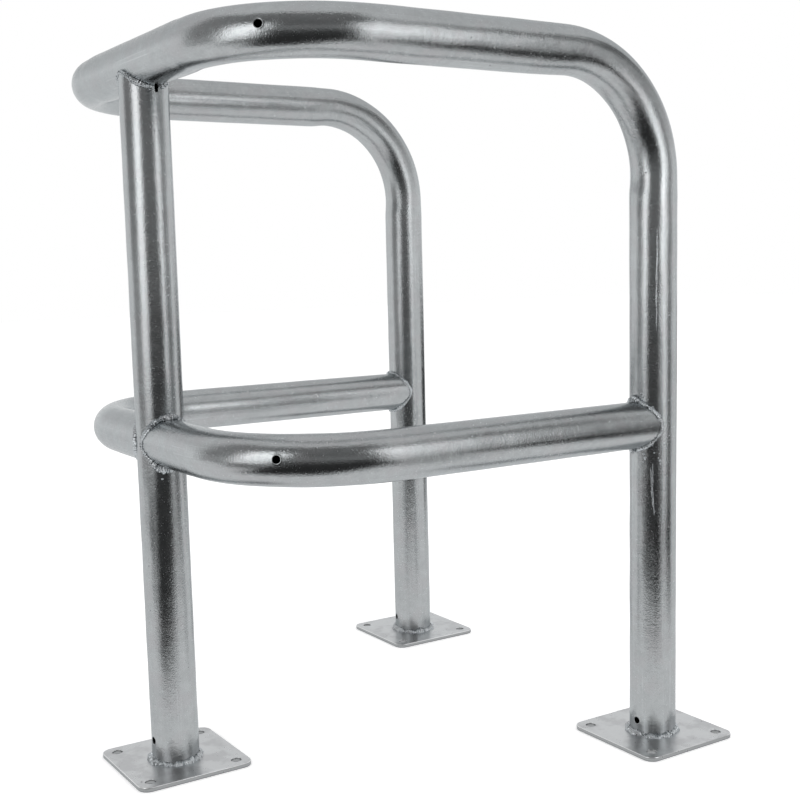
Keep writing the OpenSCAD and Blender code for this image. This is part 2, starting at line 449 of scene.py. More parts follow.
class Nodes:
    """Short names for the shader nodes of one material or world."""

    def __init__(self, owner):
        self.owner = owner
        owner.use_nodes = True
        self.tree = owner.node_tree
        self.tree.nodes.clear()

    def new(self, kind, inputs=None, **settings):
        """Node with its inputs set or linked."""
        node = self.tree.nodes.new("ShaderNode" + kind)
        for key, value in settings.items():
            setattr(node, key, value)
        for key, value in (inputs or {}).items():
            self.put(node.inputs[key], value)
        return node

    def put(self, socket, value):
        """Links an output to a socket, or sets its value."""
        if isinstance(value, bpy.types.NodeSocket):
            self.tree.links.new(value, socket)
        else:
            socket.default_value = value

    def math(self, operation, a, b=0.0, clamp=False):
        return self.new("Math", {0: a, 1: b}, operation=operation, use_clamp=clamp).outputs[0]

    def times(self, a, b):
        return self.math("MULTIPLY", a, b)

    def span(self, value, low, high, to_low=0.0, to_high=1.0, curve="SMOOTHSTEP"):
        """Maps a range of a value to another, clamped."""
        names = {"Value": value, "From Min": low, "From Max": high, "To Min": to_low, "To Max": to_high}
        return self.new("MapRange", names, interpolation_type=curve).outputs[0]

    def line(self, *values):
        """The same on a straight line."""
        return self.span(*values, curve="LINEAR")

    def scaled(self, vector, scale):
        return self.new("VectorMath", {0: vector, 1: scale}, operation="MULTIPLY").outputs[0]

    def noise(self, vector, scale, detail, rough, distortion=0.0):
        names = {"Vector": vector, "Scale": scale, "Detail": detail, "Roughness": rough,
                 "Distortion": distortion}
        return self.new("TexNoise", names).outputs[0]

    def cells(self, vector, scale, channel):
        """Distance to the middle of a cell, and a random value of each cell."""
        found = self.new("TexVoronoi", {"Vector": vector, "Scale": scale}).outputs
        return found["Distance"], self.new("SeparateColor", {0: found["Color"]}).outputs[channel]

    def weighed(self, patterns, weights, start):
        """Start plus the patterns by their weights, clamped from 0 to 1."""
        total = start
        for number, (name, weight) in enumerate(weights.items()):
            middle = 0.0 if name in RARE else 0.5
            part = self.times(self.math("SUBTRACT", patterns[name], middle), weight)
            total = self.math("ADD", part, total, number == len(weights) - 1)
        return total

    def mix(self, factor, a, b):
        """Mix of two colours."""
        node = self.new("Mix", data_type="RGBA")
        for socket, value in ((0, factor), (6, a), (7, b)):
            self.put(node.inputs[socket], value)
        return node.outputs[2]

    def up(self, vector):
        """Its Z."""
        return self.new("SeparateXYZ", {0: vector}).outputs[2]

    def glow(self, level):
        """White emission."""
        return self.new("Emission", {"Color": WHITE, "Strength": level}).outputs[0]

    def blend(self, factor, a, b):
        """Mix of two shaders."""
        return self.new("MixShader", {0: factor, 1: a, 2: b}).outputs[0]

    def rays(self):
        """Whether a ray is the camera's own, and whether it was mirrored or let through."""
        path = self.new("LightPath").outputs
        mirrored = self.math("MAXIMUM", path["Is Glossy Ray"], path["Is Transmission Ray"])
        return path["Is Camera Ray"], mirrored

    def ended(self, shader, kind="OutputMaterial"):
        """The finished material or world."""
        self.new(kind, {"Surface": shader})
        return self.owner


# Finish of each kind of surface: pale and dark end of the zinc's colour, roughness and how much it
# clouds, how much the colour streaks, strength of the specks and scratches, height of the bumps, weight
# of the cross marks in them, and where the rare pits start. A plate also has the colours of a painted
# shade on its sides and a painted highlight on its rim
TUBE_LOOK = dict(pale=(0.513, 0.536, 0.545, 1), dark=(0.372, 0.39, 0.397, 1), rough=0.155, cloud=0.12,
                 streak=0.55, speck=0.4, bump=0.34 * MM, hatch=0.24, pits=0.82)
PLATE_LOOK = dict(pale=(0.76, 0.77, 0.778, 1), dark=(0.65, 0.66, 0.668, 1), rough=0.31, cloud=0.15,
                  streak=0.2, speck=0.12, bump=0.07 * MM, hatch=0.0, pits=0.93,
                  # Colours of the painted shade on the plate's sides and the painted highlight on its rim
                  sides=(0.31, 0.32, 0.325, 1), rim=(0.92, 0.93, 0.935, 1))
WELD_LOOK = dict(pale=(0.74, 0.78, 0.8, 1), dark=(0.36, 0.38, 0.4, 1), rough=0.26, cloud=0.2,
                 streak=0.0, speck=0.4, bump=0.45 * MM, hatch=0.0, pits=0.7)
# Colour of the reflection where the surface turns away
EDGE_TINT = (0.8, 0.82, 0.83, 1)
BRIGHT_ZINC = (0.66, 0.69, 0.71, 1)
WARM_ZINC = (0.445, 0.44, 0.452, 1)
# Grey of the zinc's pits, also used for the painted shade along a plate's foot
PIT_AND_SHADE_GREY = (0.2, 0.21, 0.22, 1)
PIT_STRENGTH = 0.75
# Noise on the zinc: scale per metre, detail, roughness, and distortion if any
NOISES = {"clouds": (14, 4, 0.6), "patches": (85, 5, 0.6, 0.4), "grain": (430, 3, 0.6),
          "fine": (800, 3, 0.65), "warmth": (31, 3, 0.6)}
# Noise drawn out along one axis: scale along each axis, detail, roughness
DRAWN_OUT = {"streaks": ((210, 210, 6), 3, 0.6), "lines": ((760, 760, 4), 1, 0.5),
             "hatch": ((170, 170, 780), 2, 0.6)}
SPANGLE_SCALE, PIT_SCALE = 330, 75
# Where a pattern starts and is full: scratches on the lines within clouds, specks, pits, warmer zinc
SCRATCH_SPAN, CLOUD_SPAN, SPECK_SPAN = (0.68, 0.73), (0.45, 0.6), (0.63, 0.74)
PIT_SPAN, PIT_RISE, WARM_SPAN = (0.09, 0.04), 0.04, (0.45, 0.62, 0.0, 0.4)
# The same for a plate's painted highlight on its rim and painted shade on its sides by how far they face up,
# and for the painted shade along its foot by the height
RIM_HIGHLIGHT_SPAN, SIDE_SHADE_SPAN = (0.98, 0.8, 0.0, 0.7), (0.45, 0.15, 0.0, 0.9)
FOOT_SHADE_SPAN = (2.4 * MM, 1.0 * MM, 0.0, 0.6)


def zinc_patterns(n, where, look):
    """Patterns on the zinc by name, from 0 to 1."""
    on = {name: n.noise(where, *values) for name, values in NOISES.items()}
    for name, (scale, detail, rough) in DRAWN_OUT.items():
        on[name] = n.noise(n.scaled(where, scale), 1, detail, rough)
    _, on["spangle"] = n.cells(where, SPANGLE_SCALE, 0)
    on["scratch"] = n.times(n.span(on["lines"], *SCRATCH_SPAN), n.span(on["clouds"], *CLOUD_SPAN))
    on["speck"] = n.span(on["grain"], *SPECK_SPAN)
    distance, rare = n.cells(where, PIT_SCALE, 1)
    on["pit"] = n.times(n.span(distance, *PIT_SPAN), n.span(rare, look["pits"], look["pits"] + PIT_RISE))
    return on


def plate_painted_light(n, where, colour, look):
    """Painted highlight on a plate's rim, painted shade on its sides and along its foot."""
    facing = n.up(n.new("NewGeometry").outputs["Normal"])
    # Painted highlight on the rounded rim and painted shade on the upright sides, by how far they face up
    colour = n.mix(n.span(facing, *RIM_HIGHLIGHT_SPAN), colour, look["rim"])
    colour = n.mix(n.span(facing, *SIDE_SHADE_SPAN), colour, look["sides"])
    # Painted shade along the plate's foot, darker towards the bottom
    return n.mix(n.span(n.up(where), *FOOT_SHADE_SPAN), colour, PIT_AND_SHADE_GREY)


def galvanised(name, unrolled, look):
    """Hot-dip galvanised steel: faint clouds and spangle, streaks, specks, scratches and pits."""
    n = Nodes(bpy.data.materials.new(name))
    if unrolled:
        where = n.new("Attribute", attribute_name="unrolled").outputs["Vector"]
    else:
        where = n.new("TexCoord").outputs["Object"]
    on = zinc_patterns(n, where, look)
    tone = n.weighed(on, dict(clouds=0.9, patches=0.85, streaks=look["streak"], spangle=0.16), 0.5)
    colour = n.mix(tone, look["dark"], look["pale"])
    colour = n.mix(n.span(on["warmth"], *WARM_SPAN), colour, WARM_ZINC)
    marks = n.math("ADD", on["speck"], on["scratch"], True)
    colour = n.mix(n.times(marks, look["speck"]), colour, BRIGHT_ZINC)
    colour = n.mix(n.times(on["pit"], PIT_STRENGTH), colour, PIT_AND_SHADE_GREY)
    # A plate gets a painted highlight on its rim and painted shade on its sides and along its foot
    if "sides" in look:
        colour = plate_painted_light(n, where, colour, look)
    roughness = n.weighed(on, dict(patches=look["cloud"], clouds=look["cloud"], streaks=0.07, spangle=0.03,
                                   speck=0.22), look["rough"])
    height = n.weighed(on, dict(patches=0.6, grain=0.5, fine=0.38, streaks=0.12, hatch=look["hatch"],
                                pit=-0.5), 0.5)
    bump = n.new("Bump", {"Distance": look["bump"], "Height": height}).outputs[0]
    shader = n.new("BsdfPrincipled", {"Base Color": colour, "Metallic": 1.0, "Roughness": roughness,
                                      "Specular Tint": EDGE_TINT, "Normal": bump})
    return n.ended(shader.outputs[0])


TUBE_METAL = galvanised("galvanised_tube", True, TUBE_LOOK)
PLATE_METAL = galvanised("galvanised_plate", False, PLATE_LOOK)
WELD_METAL = galvanised("galvanised_weld", False, WELD_LOOK)


def finish(obj, node):
    """Every piece rides on the one body and stands for a CAD node."""
    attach(obj, "root")
    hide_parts(node)


# Tubes

# More points round the section, in degrees from the ledge of a leg's bend and from a vent slot's edges
LEDGE_COLUMNS = np.array([-4.5, -3, -2, -1, 0, 1, 2, 3, 4.5])
SLOT_COLUMNS = np.array([0.1, -0.1, -0.8, -2.2])


def make_hoop():
    """Left rear leg, left arm, front run, right arm and right rear leg, in one bent tube."""
    leg = TOP_Z - LEG_BEND_R - PLATE_T
    arm = REAR_Y - FRONT_Y - LEG_BEND_R - CORNER_BEND_R
    path = Path((-REAR_X, REAR_Y, PLATE_T), Z, X)
    path.line(leg).bend(LEG_BEND_R, -Y, (CRISP, CRISP), **LEG_SQUEEZE)
    path.line(arm).bend(CORNER_BEND_R, X, (SOFT, CRISP), **CORNER_SQUEEZE)
    path.line(2 * (REAR_X - CORNER_BEND_R))
    corner_middle = path.length + CORNER_BEND_R * math.pi / 4
    path.bend(CORNER_BEND_R, Y, (CRISP, SOFT), **CORNER_SQUEEZE)
    path.line(arm).bend(LEG_BEND_R, -Z, (SOFT, CRISP), **LEG_SQUEEZE).line(leg)
    tube = Tube(path, 11)
    ledge = np.degrees(np.arccos(LEDGE_AT)) + LEDGE_COLUMNS
    tube.add_columns(90 + ledge, 90 - ledge)
    (left_z, left_turn), (right_z, right_turn) = DRAINS["left"], DRAINS["right"]
    tube.hole(left_z, direction(left_turn), DRAIN_D)
    tube.hole(corner_middle, direction(-45, TOP_VENT_TILT), VENT_D)
    tube.hole(path.length - right_z, direction(right_turn), DRAIN_D)
    tube.build("hoop_tube", "top_hoop")


def make_front_leg():
    """Straight leg with a notched head, a vent slot under the weld and a drain hole."""
    path = Path((0, FRONT_Y, PLATE_T), Z, X).line(TOP_Z - PLATE_T)
    tube = Tube(path, 12, end_notch=Y)
    half = HEAD_SLOT_W / 2

    def slot_depth(theta):
        """Depth of the vent slot's foot below the top rail's axis, or 0 beside the slot."""
        across = TUBE_R * np.sin(theta - math.radians(HEAD_SLOT_TURN))
        foot = np.sqrt(np.maximum(half ** 2 - across ** 2, 0))
        inside = (np.abs(across) < half) & (np.cos(theta) > 0)
        return np.where(inside, TUBE_R + HEAD_SLOT_H - half + foot, 0.0)

    tube.head = slot_depth
    edge = math.degrees(math.asin(half / TUBE_R)) + SLOT_COLUMNS
    tube.add_columns(HEAD_SLOT_TURN + edge, HEAD_SLOT_TURN - edge)
    drain_z, drain_turn = DRAINS["front"]
    tube.hole(drain_z, direction(drain_turn), DRAIN_D)
    tube.build("leg_tube_front", "front_leg")


def make_lower_rail(side, name, seed):
    """Lower rail from a rear leg to the front leg. Side is 1 for the right rail, -1 for the left."""
    path = Path((side * REAR_X, REAR_Y, RAIL_Z), -Y, side * X)
    path.line(REAR_Y - FRONT_Y - RAIL_BEND_R)
    corner_middle = path.length + RAIL_BEND_R * math.pi / 4
    path.bend(RAIL_BEND_R, -side * X, (SOFT, CRISP), **RAIL_SQUEEZE).line(REAR_X - RAIL_BEND_R)
    tube = Tube(path, seed, start_notch=X, end_notch=Y)
    tube.hole(corner_middle, direction(side * 45 - 90, RAIL_VENT_TILT), VENT_D)
    tube.build("rail_tube_" + name, "lower_rail_" + name)


# Welds

TORCH_STEP = 3.2 * MM
BEAD_POINTS = 9
BEAD_STEPS = 300
# Parts of a bead's height and width: slow waves, passes of the torch, grain, and the least that is left
SLOW_WAVES, SLOW, PASSES, GRAIN, LEAST = 21, (0.15, 0.14), (0.35, 0.2), (0.09, 0.06), ((0.3,), (0.4,))
# Phase of the passes in the height and in the width, in radians
PASS_PHASE = (0.0, 0.4)


def ripple(draw, count, length):
    """Uneven height and width along a bead, in shares of its size: slow waves, passes, grain."""
    t = np.arange(count) / count
    shares = np.ones((2, count))
    for k in range(1, SLOW_WAVES + 1):
        lower = 1 / (0.9 + 0.16 * k)
        for share, weight in zip(shares, SLOW):
            share += weight * lower * np.cos(TURN * k * t + draw.uniform(*PHASES))
    drift = np.cumsum(draw.uniform(0.5, 1.5, count))
    phase = drift / drift[-1] * round(length / TORCH_STEP) * math.pi
    for share, weight, grain, shift in zip(shares, PASSES, GRAIN, PASS_PHASE):
        share += weight * np.abs(np.sin(phase + shift)) + draw.normal(0, grain, count)
    return np.maximum(shares, LEAST)


def dips(angle, pits):
    """Share of the bead that is left beside its pits, each (turn, size, depth), in degrees."""
    left = np.ones(len(angle))
    for turn, size, depth in pits:
        gap = (angle - math.radians(turn) + math.pi) % TURN - math.pi
        left *= 1 - depth * np.exp(-(gap / math.radians(size)) ** 2)
    return left


def bead(shape, low, crown, high, under, closed=True):
    """Bead from toe low over a crown to toe high and back underneath, as a loop or with two ends."""
    rows = [(1 - t) ** 2 * low + 2 * t * (1 - t) * crown + t * t * high
            for t in np.linspace(0, 1, BEAD_POINTS)]
    index = shape.add(np.stack(rows + [under], 1))
    shape.grid(np.concatenate([index, index[:1]], 0) if closed else index)
    if not closed:
        shape.faces += [index[0].tolist(), index[-1].tolist()]


# Nodules along a bead, as shares of their largest size: size and place across the bead, then width
# and height as shares of that size
NODULE_SIZES, NODULE_PLACES = (0.45, 1.0), (-1.6, 1.6)
NODULE_WIDTHS, NODULE_HEIGHTS = (0.6, 1.0), (0.7, 1.3)


def crown_lumps(shape, crown, out, draw, count, size):
    """Small nodules of weld and zinc that stand along a bead."""
    for k in draw.choice(len(crown), count, replace=False):
        r = size * draw.uniform(*NODULE_SIZES)
        ahead = unit(crown[(k + 1) % len(crown)] - crown[k - 1])
        across = np.cross(out[k], ahead)
        place = crown[k] + across * draw.uniform(*NODULE_PLACES) * size
        wide, tall = r * draw.uniform(*NODULE_WIDTHS), r * draw.uniform(*NODULE_HEIGHTS)
        shape.lump(place, ahead * r, across * wide, out[k] * tall, draw)


BASE_BEAD_W, BASE_BEAD_H = 5.0 * MM, 3.9 * MM
# Share of the width that a full pit leaves, and place of the crown as shares of the width and height
PIT_WIDTH, CROWN_OUT, CROWN_UP = 0.4, 0.75, 0.8
# How far the bead reaches into the plate, its upper toe into the leg, and its root into the leg
BEAD_SUNK, TOE_IN, ROOT_IN = 0.2 * MM, 0.3 * MM, 0.6 * MM
BASE_NODULES, BASE_NODULE_SIZE = 22, 1.15 * MM
WELD_SHARP = 60


def make_base_weld(name, seed, pits):
    """Rippled, jagged fillet weld round the foot of a leg."""
    draw = np.random.RandomState(seed)
    foot = np.array([*LEGS[name], PLATE_T])
    angle = np.arange(BEAD_STEPS) / BEAD_STEPS * TURN
    h, w = ripple(draw, BEAD_STEPS, TURN * TUBE_R)
    left = dips(angle, pits)
    width, height = BASE_BEAD_W * w * (PIT_WIDTH + (1 - PIT_WIDTH) * left), BASE_BEAD_H * h * left
    out = np.stack([np.cos(angle), np.sin(angle), 0 * angle], -1)

    def ring(beyond, z):
        """Points round the leg at a distance beyond its surface and a height above the plate."""
        radius, rise = np.broadcast_arrays(TUBE_R + beyond, z + 0 * angle)
        return foot + out * radius[:, None] + np.multiply.outer(rise, Z)

    shape = Shape()
    bead(shape, ring(width, -BEAD_SUNK), ring(CROWN_OUT * width, CROWN_UP * height), ring(-TOE_IN, height),
         ring(-ROOT_IN, -BEAD_SUNK))
    crown_lumps(shape, ring(0.5 * width, 0.5 * height), unit(out + Z), draw, BASE_NODULES, BASE_NODULE_SIZE)
    obj = shape.build("weld_bead_base_" + name, WELD_METAL, WELD_SHARP)
    finish(obj, "base_weld_" + name)


def offset(curve, distance):
    """Closed curve in a plane, moved to its right by a distance at each point."""
    ahead = unit(np.roll(curve, -1, 0) - np.roll(curve, 1, 0))
    return curve + np.stack([ahead[:, 1], -ahead[:, 0]], -1) * distance[:, None]


# Bead where a tube leaves another: its reach along each tube, the height of its crown over its toes,
# and the depth of its root
SADDLE_REACH, SADDLE_BULGE, SADDLE_ROOT = 2.9 * MM, 1.6 * MM, 1.4 * MM
SADDLE_NODULE_SIZE = 1.25 * MM
SEAM_LENGTH = 1.2 * TURN * TUBE_R
# Points over which a bead tapers where it stops, and the share of it that is left there
TAPER_POINTS, TAPER_LEFT = 5, 0.45


def saddle(centre, through, leaving, draw, pits, gap):
    """Bead where a tube leaves another. Both tubes are unrolled to offset the seam to the two toes."""
    closed = gap is None
    turn, half = (0.0, 0.0) if closed else gap
    count = np.arange(BEAD_STEPS)
    sweep = TURN - 2 * math.radians(half)
    angle = math.radians(turn + half) + count / (BEAD_STEPS if closed else BEAD_STEPS - 1) * sweep
    side = np.cross(through, leaving)
    x, z = np.cos(angle), np.sin(angle)
    y = notch_depth(z ** 2)
    h, w = ripple(draw, BEAD_STEPS, SEAM_LENGTH)
    left = dips(angle, pits)
    if not closed:
        from_end = np.minimum(count, count[::-1]) / TAPER_POINTS
        left = left * (TAPER_LEFT + (1 - TAPER_LEFT) * smooth(from_end))
    reach = SADDLE_REACH * w * left / TUBE_R

    def place(points):
        """From radii along side, leaving and through to places in the scene."""
        return centre + TUBE_R * (np.outer(points[:, 0], side) + np.outer(points[:, 1], leaving)
                                  + np.outer(points[:, 2], through))

    round_main = np.sign(x) * np.arccos(y)
    on_main = offset(np.stack([round_main, z], -1), reach)
    low = np.stack([np.sin(on_main[:, 0]), np.cos(on_main[:, 0]), on_main[:, 1]], -1)
    slope = np.gradient(y, angle)
    lean = np.sqrt(1 + slope ** 2)
    round_branch, out_branch = angle - reach * slope / lean, y + reach / lean
    high = np.stack([np.cos(round_branch), out_branch, np.sin(round_branch)], -1)
    seam = np.stack([x, y, z], -1)
    normal = unit(np.stack([2 * x, y, z], -1))
    crown = (low + high) / 2 + normal * (2 * SADDLE_BULGE / TUBE_R * h * left)[:, None]
    root = seam - normal * (SADDLE_ROOT / TUBE_R)
    top = (low + high + 2 * crown) / 4
    turned = normal[:, :1] * side + normal[:, 1:2] * leaving + normal[:, 2:] * through
    return [place(points) for points in (low, crown, high, root, top)] + [turned]


def make_saddle_weld(name, node, centre, through, leaving, seed, pits=(), gap=None, nodules=34, extras=None):
    """Weld round a notched end. Its gap is a (turn, half width) in degrees, where the bead stops."""
    draw = np.random.RandomState(seed)
    shape = Shape()
    low, crown, high, root, top, out = saddle(np.array(centre, float), through, leaving, draw, pits, gap)
    bead(shape, low, crown, high, root, gap is None)
    crown_lumps(shape, top, out, draw, nodules, SADDLE_NODULE_SIZE)
    if extras is not None:
        extras(shape, draw)
    finish(shape.build("weld_bead_" + name, WELD_METAL, WELD_SHARP), node)


def on_leg(name, azimuth, z, lift=0.0):
    """Point on a leg's surface, the direction out of it and the direction round it."""
    out = direction(azimuth)
    return np.array([*LEGS[name], z]) + out * (TUBE_R + lift), out, np.cross(Z, out)


# Height of a drop along the leg, and how far it stands out, as shares of its size
DROP_HEIGHTS, DROP_OUT = (0.8, 1.3), 0.7


def spatter(shape, draw, name, spots):
    """Small drops of weld metal that stick to a leg, each with its azimuth, height and size in mm."""
    for azimuth, z, size_mm in spots:
        size = size_mm * MM
        place, out, round_leg = on_leg(name, azimuth, z)
        tall = size * draw.uniform(*DROP_HEIGHTS)
        shape.lump(place, round_leg * size, Z * tall, out * size * DROP_OUT, draw)


# Rows of points along a zinc run, and its section: places across it from -1 to 1, each with its
# height as a share of the run's and how far it is sunk in mm
RUN_STEPS = 40
RUN_SECTION = ((-1, 0, 0.1), (-0.5, 0.7, 0), (0, 1, 0), (0.5, 0.7, 0), (1, 0, 0.1), (0, 0, 0.4))
# Waves along a run, each with its size and pace: two of its azimuth in degrees, one of its width
RUN_WAVES, RUN_PHASES = ((0.5, 9), (0.3, 23), (0.2, 31)), (0, 6)
# Share of a run's length at which its ends are cut
RUN_TIP = 0.02


def zinc_run(shape, name, ends, width, height, draw):
    """Thin raised run where the zinc ran down a leg, from one (azimuth, height) to another."""
    (az0, z0), (az1, z1) = ends
    t = np.linspace(0, 1, RUN_STEPS)
    sway, shake, swell = (size * np.sin(t * pace + draw.uniform(*RUN_PHASES))
                          for size, pace in RUN_WAVES)
    azimuth = az0 + (az1 - az0) * t + sway + shake
    fat = np.sin(math.pi * np.clip(t, RUN_TIP, 1 - RUN_TIP)) ** 0.5 * (1 + swell)
    half = math.degrees(width / 2 / TUBE_R) * fat
    rows = []
    for turn, side, z, tall in zip(azimuth, half, z0 + (z1 - z0) * t, height * fat):
        rows.append([on_leg(name, turn + across * side, z, share * tall - sunk * MM)[0]
                     for across, share, sunk in RUN_SECTION])
    index = shape.add(rows)
    shape.grid(index)
    shape.faces += [index[0].tolist(), index[-1].tolist()]


# Drops on the legs: azimuth in degrees, height, size in mm
RIGHT_DROPS = ((-73, 0.456, 1.1), (-72, 0.449, 1.6), (-69, 0.452, 1.2), (-63, 0.445, 1.3), (-45, 0.439, 1.5),
               (-66, 0.379, 2.0), (-63, 0.374, 1.9), (-67, 0.369, 1.5), (-41, 0.381, 1.2), (-28, 0.371, 1.3),
               (-26, 0.367, 1.1), (-3, 0.402, 1.0), (-31, 0.374, 0.8), (-10, 0.386, 0.7))
FRONT_DROPS = ((-22, 0.372, 1.4), (4, 0.366, 1.0), (-40, 0.36, 0.8), (12, 0.352, 0.9), (-8, 0.33, 0.7),
               (15, 0.471, 1.0))
# Zinc runs on the right leg: two ends, width and height in mm
RIGHT_RUNS = ((((-35, 0.662), (-37, 0.536)), 1.7, 0.25), (((-50, 0.362), (-41, 0.300)), 2.4, 0.4),
              (((-44, 0.368), (-46, 0.322)), 1.6, 0.3))
# Drip on the front leg: azimuth, height, how far out of the surface, and its half-axes, in mm
FRONT_DRIP = (-18, 0.383, 2.0 * MM)
FRONT_DRIP_SIZE = (2.8 * MM, 3.6 * MM, 5.2 * MM)


def right_leg_extras(shape, draw):
    """Spatter, drips and zinc runs on the right leg round the rail's weld."""
    spatter(shape, draw, "right", RIGHT_DROPS)
    for ends, width, height in RIGHT_RUNS:
        zinc_run(shape, "right", ends, width * MM, height * MM, draw)


def front_leg_extras(shape, draw):
    """Drip under the rail's weld and spatter on the front leg."""
    place, out, round_leg = on_leg("front", *FRONT_DRIP)
    thick, wide, tall = FRONT_DRIP_SIZE
    shape.lump(place, out * thick, round_leg * wide, Z * tall, draw, 0.1)
    spatter(shape, draw, "front", FRONT_DROPS)


# Base plates

# Steps of the outline in a corner and along a side, and points round a hole
CORNER_STEPS, SIDE_STEPS, CIRCLE_POINTS = 8, 15, 40
# Width of the rounded edges of the plate and of its holes
EDGE_IN, HOLE_EDGE_IN = 1.1 * MM, 0.8 * MM
# Share of a hole's radius from its axis, past which a triangle belongs to the face
HOLE_CHORD = 0.996
# Those edges from the top down, each point with its inset and height in mm
EDGE_PROFILE = ((0.55, 5.8), (0.15, 5.3), (0.0, 4.5), (0.0, 1.5), (0.15, 0.7), (0.55, 0.15))
HOLE_PROFILE = ((0.3, 5.8), (0.05, 5.3), (0.0, 4.5), (0.0, 1.2), (0.3, 0.2))
# Points inside the face: the first one's distance from the edge, their step, and the room beside edges
GRID_FROM, GRID_STEP, GRID_ROOM = 5 * MM, 7.5 * MM, 3.5 * MM
# Waves of the upper face: how many, depth in mm, radians per metre
PLATE_WAVES, PLATE_WAVE_DEPTH, PLATE_WAVE_SPAN = 6, (0.02, 0.06), (20, 90)
PLATE_SHARP = 50


def outline(inset):
    """Outline of the plate, moved inwards by an inset."""
    straight = PLATE_HALF - PLATE_CORNER_R
    turns = np.arange(CORNER_STEPS + 1) / CORNER_STEPS * math.pi / 2
    corner = straight + (PLATE_CORNER_R - inset) * np.stack([np.cos(turns), np.sin(turns)], -1)
    ahead = np.linspace(straight, -straight, SIDE_STEPS + 1)[1:-1]
    quarter = np.concatenate([corner, np.stack([ahead, np.full(len(ahead), PLATE_HALF - inset)], -1)])
    quarters = [quarter]
    for _ in range(3):
        quarters.append(np.stack([-quarters[-1][:, 1], quarters[-1][:, 0]], -1))
    return np.concatenate(quarters)


def circle(centre, radius):
    """Points round a bolt hole."""
    turns = np.arange(CIRCLE_POINTS) / CIRCLE_POINTS * TURN
    return np.asarray(centre) + radius * np.stack([np.cos(turns), np.sin(turns)], -1)


def on_face(points, edge, hole_r):
    """Which points keep off the outline by an edge's width and off the bolt holes' axes by a radius."""
    past_corner = np.maximum(np.abs(points) - PLATE_HALF + PLATE_CORNER_R, 0)
    found = np.hypot(*past_corner.T) < PLATE_CORNER_R - edge
    for bolt in BOLTS:
        found &= np.hypot(*(points - bolt).T) > hole_r
    return found


def face_mesh(loops, inside):
    """Triangles between loops of edges and points inside them. Also gives the new number of each point."""
    edges, start = [], 0
    for loop in loops:
        edges += [(start + i, start + (i + 1) % len(loop)) for i in range(len(loop))]
        start += len(loop)
    points = [Vector(p) for p in np.concatenate(loops + [inside])]
    found = delaunay_2d_cdt(points, edges, [], 0, 1e-7)
    co = np.array([tuple(p) for p in found[0]])
    middle = np.array([co[list(face)].mean(0) for face in found[2]])
    good = on_face(middle, EDGE_IN, (BOLT_HOLE_R + HOLE_EDGE_IN) * HOLE_CHORD)
    number = {i: k for k, source in enumerate(found[3]) for i in source}
    return co, [face for face, kept in zip(found[2], good) if kept], number


def make_plate(name, seed, nodules):
    """Square plate with rounded corners, four bolt holes, zinc-rounded edges and a few nodules of zinc."""
    draw = np.random.RandomState(seed)
    x, y = LEGS[name]
    waves = [(draw.uniform(*PLATE_WAVE_DEPTH) * MM, draw.uniform(*PLATE_WAVE_SPAN),
              draw.uniform(*PLATE_WAVE_SPAN), draw.uniform(*PHASES)) for _ in range(PLATE_WAVES)]
    spots = np.arange(-PLATE_HALF + GRID_FROM, PLATE_HALF, GRID_STEP)
    inside = np.stack(np.meshgrid(spots, spots, indexing="ij"), -1).reshape(-1, 2)
    inside = inside + draw.uniform(-1, 1, inside.shape) * MM
    inside = inside[on_face(inside, GRID_ROOM, BOLT_HOLE_R + GRID_ROOM)]
    loops = [outline(EDGE_IN)] + [circle(bolt, BOLT_HOLE_R + HOLE_EDGE_IN) for bolt in BOLTS]
    co, triangles, number = face_mesh(loops, inside)
    top = np.full(len(co), PLATE_T)
    for size, kx, ky, phase in waves:
        top += size * (np.cos(kx * co[:, 0] + ky * co[:, 1] + phase) - 1)
    shape = Shape()

    def placed(points, z):
        """Adds points of the plate at a height."""
        return shape.add(np.column_stack([points + LEGS[name], np.broadcast_to(z, len(points))]))

    sheets = [placed(co, top), placed(co, 0.0)]
    for sheet in sheets:
        shape.faces += [[int(sheet[i]) for i in triangle] for triangle in triangles]

    def rim(first, count, rows):
        """Edge of the plate between its two faces, through loops of points at heights in mm."""
        upper, lower = (sheet[[number[first + i] for i in range(count)]] for sheet in sheets)
        steps = [upper] + [placed(loop, z * MM) for loop, z in rows] + [lower]
        for above, below in zip(steps, steps[1:]):
            shape.bridge(above, below)

    start = len(loops[0])
    rim(0, start, [(outline(inset * MM), z) for inset, z in EDGE_PROFILE])
    for k, bolt in enumerate(BOLTS):
        rows = [(circle(bolt, BOLT_HOLE_R + inset * MM), z) for inset, z in HOLE_PROFILE]
        rim(start + k * CIRCLE_POINTS, CIRCLE_POINTS, rows)
    for right, ahead, z, size in nodules:
        centre = np.array([x + right * MM, y + ahead * MM, z * MM])
        shape.lump(centre, X * size * MM, Y * size * MM, Z * 0.6 * size * MM, draw)
    obj = shape.build("floor_plate_" + name, PLATE_METAL, PLATE_SHARP)
    finish(obj, "base_plate_" + name)


# Studio

ORIGIN = (0, 0, 0)


def position(n):
    """Place of the shaded point, and its height."""
    place = n.new("NewGeometry").outputs["Position"]
    return place, n.up(place)


def along(n, place, origin, way):
    """Distance of a place from an origin, measured along a way."""
    start = n.new("VectorMath", {0: place, 1: tuple(map(float, origin))}, operation="SUBTRACT").outputs[0]
    found = n.new("VectorMath", {0: start, 1: tuple(map(float, way))}, operation="DOT_PRODUCT")
    return found.outputs["Value"]


def past(n, place, way, edge, fade):
    """0 before an edge across a way and 1 past it, with a fade to each side."""
    return n.span(along(n, place, ORIGIN, way), edge - fade, edge + fade)


def add_quads(name, quads, material):
    """Object made of separate quads."""
    mesh = bpy.data.meshes.new(name)
    points = [tuple(map(float, p)) for corners in quads for p in corners]
    mesh.from_pydata(points, [], [tuple(range(4 * k, 4 * k + 4)) for k in range(len(quads))])
    mesh.materials.append(material)
    obj = linked(name, mesh)
    return obj


FLOOR_SIZE = 14.0
FLOOR_COLOUR, FLOOR_LIFT = (0.9, 0.9, 0.9, 1), 0.3
